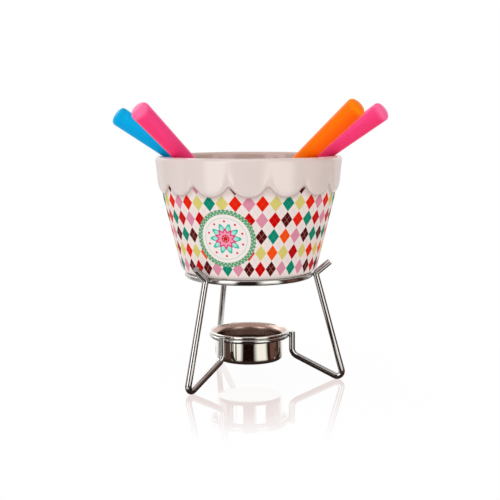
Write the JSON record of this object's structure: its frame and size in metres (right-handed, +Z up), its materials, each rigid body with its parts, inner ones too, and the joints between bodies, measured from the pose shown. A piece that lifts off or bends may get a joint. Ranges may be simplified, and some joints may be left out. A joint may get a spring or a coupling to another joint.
{
  "type": "fondue pot set",
  "caption": "Small ceramic fondue pot with a scalloped collar on a bent-wire stand, with a tea-light burner cup and dipping forks leaning in it.",
  "frame": {"origin": "on the table, on the common axis of the pot, its ring and the burner cup, midway between the three feet", "axes": "+Z up along the axis of the pot; -Y is the side with the round medallion, a little to its left; +X is the right side seen from there"},
  "size_m": [0.1819, 0.1276, 0.1914],
  "materials": {
    "glazed_ceramic": "glossy glaze, opaque, with a printed band of small diamonds",
    "chrome_wire": "bright chrome plating",
    "polished_steel": "polished outside, satin inside",
    "foil": "thin bright foil",
    "wax": "smooth, slightly translucent",
    "wick": "waxed cotton braid",
    "blue_plastic": "glossy moulded plastic",
    "pink_plastic": "glossy moulded plastic",
    "orange_plastic": "glossy moulded plastic",
    "fork_steel": "bright stainless steel"
  },
  "bodies": {
    "stand": {"pot_ring": "chrome_wire", "burner_ring": "chrome_wire", "leg_front_left": "chrome_wire", "leg_right": "chrome_wire", "leg_back": "chrome_wire"},
    "pot": {"pot": "glazed_ceramic"},
    "burner_cup": {"burner_cup": "polished_steel"},
    "tealight": {"tealight_cup": "foil", "tealight_wax": "wax", "tealight_wick": "wick", "wick_sustainer": "foil"},
    "fork_blue": {"fork_blue_handle": "blue_plastic", "fork_blue_tines": "fork_steel"},
    "fork_pink_left": {"fork_pink_left_handle": "pink_plastic", "fork_pink_left_tines": "fork_steel"},
    "fork_orange": {"fork_orange_handle": "orange_plastic", "fork_orange_tines": "fork_steel"},
    "fork_pink_right": {"fork_pink_right_handle": "pink_plastic", "fork_pink_right_tines": "fork_steel"}
  },
  "joints": [
    {"name": "pot_lift", "type": "slide", "parent": "stand", "child": "pot", "axis": [0, 0, 1], "range_m": [0, 0.12]},
    {"name": "burner_cup_lift", "type": "slide", "parent": "stand", "child": "burner_cup", "axis": [0, 0, 1], "range_m": [0, 0.02]},
    {"name": "tealight_lift", "type": "slide", "parent": "burner_cup", "child": "tealight", "axis": [0, 0, 1], "range_m": [0, 0.021]},
    {"name": "fork_blue_pull", "type": "slide", "parent": "pot", "child": "fork_blue", "axis": [-0.7976, -0.1947, 0.5709], "range_m": [0, 0.12]},
    {"name": "fork_pink_left_pull", "type": "slide", "parent": "pot", "child": "fork_pink_left", "axis": [-0.5579, -0.5126, 0.6527], "range_m": [0, 0.12]},
    {"name": "fork_orange_pull", "type": "slide", "parent": "pot", "child": "fork_orange", "axis": [0.6536, -0.3645, 0.6632], "range_m": [0, 0.12]},
    {"name": "fork_pink_right_pull", "type": "slide", "parent": "pot", "child": "fork_pink_right", "axis": [0.7468, -0.3426, 0.57], "range_m": [0, 0.12]}
  ]
}
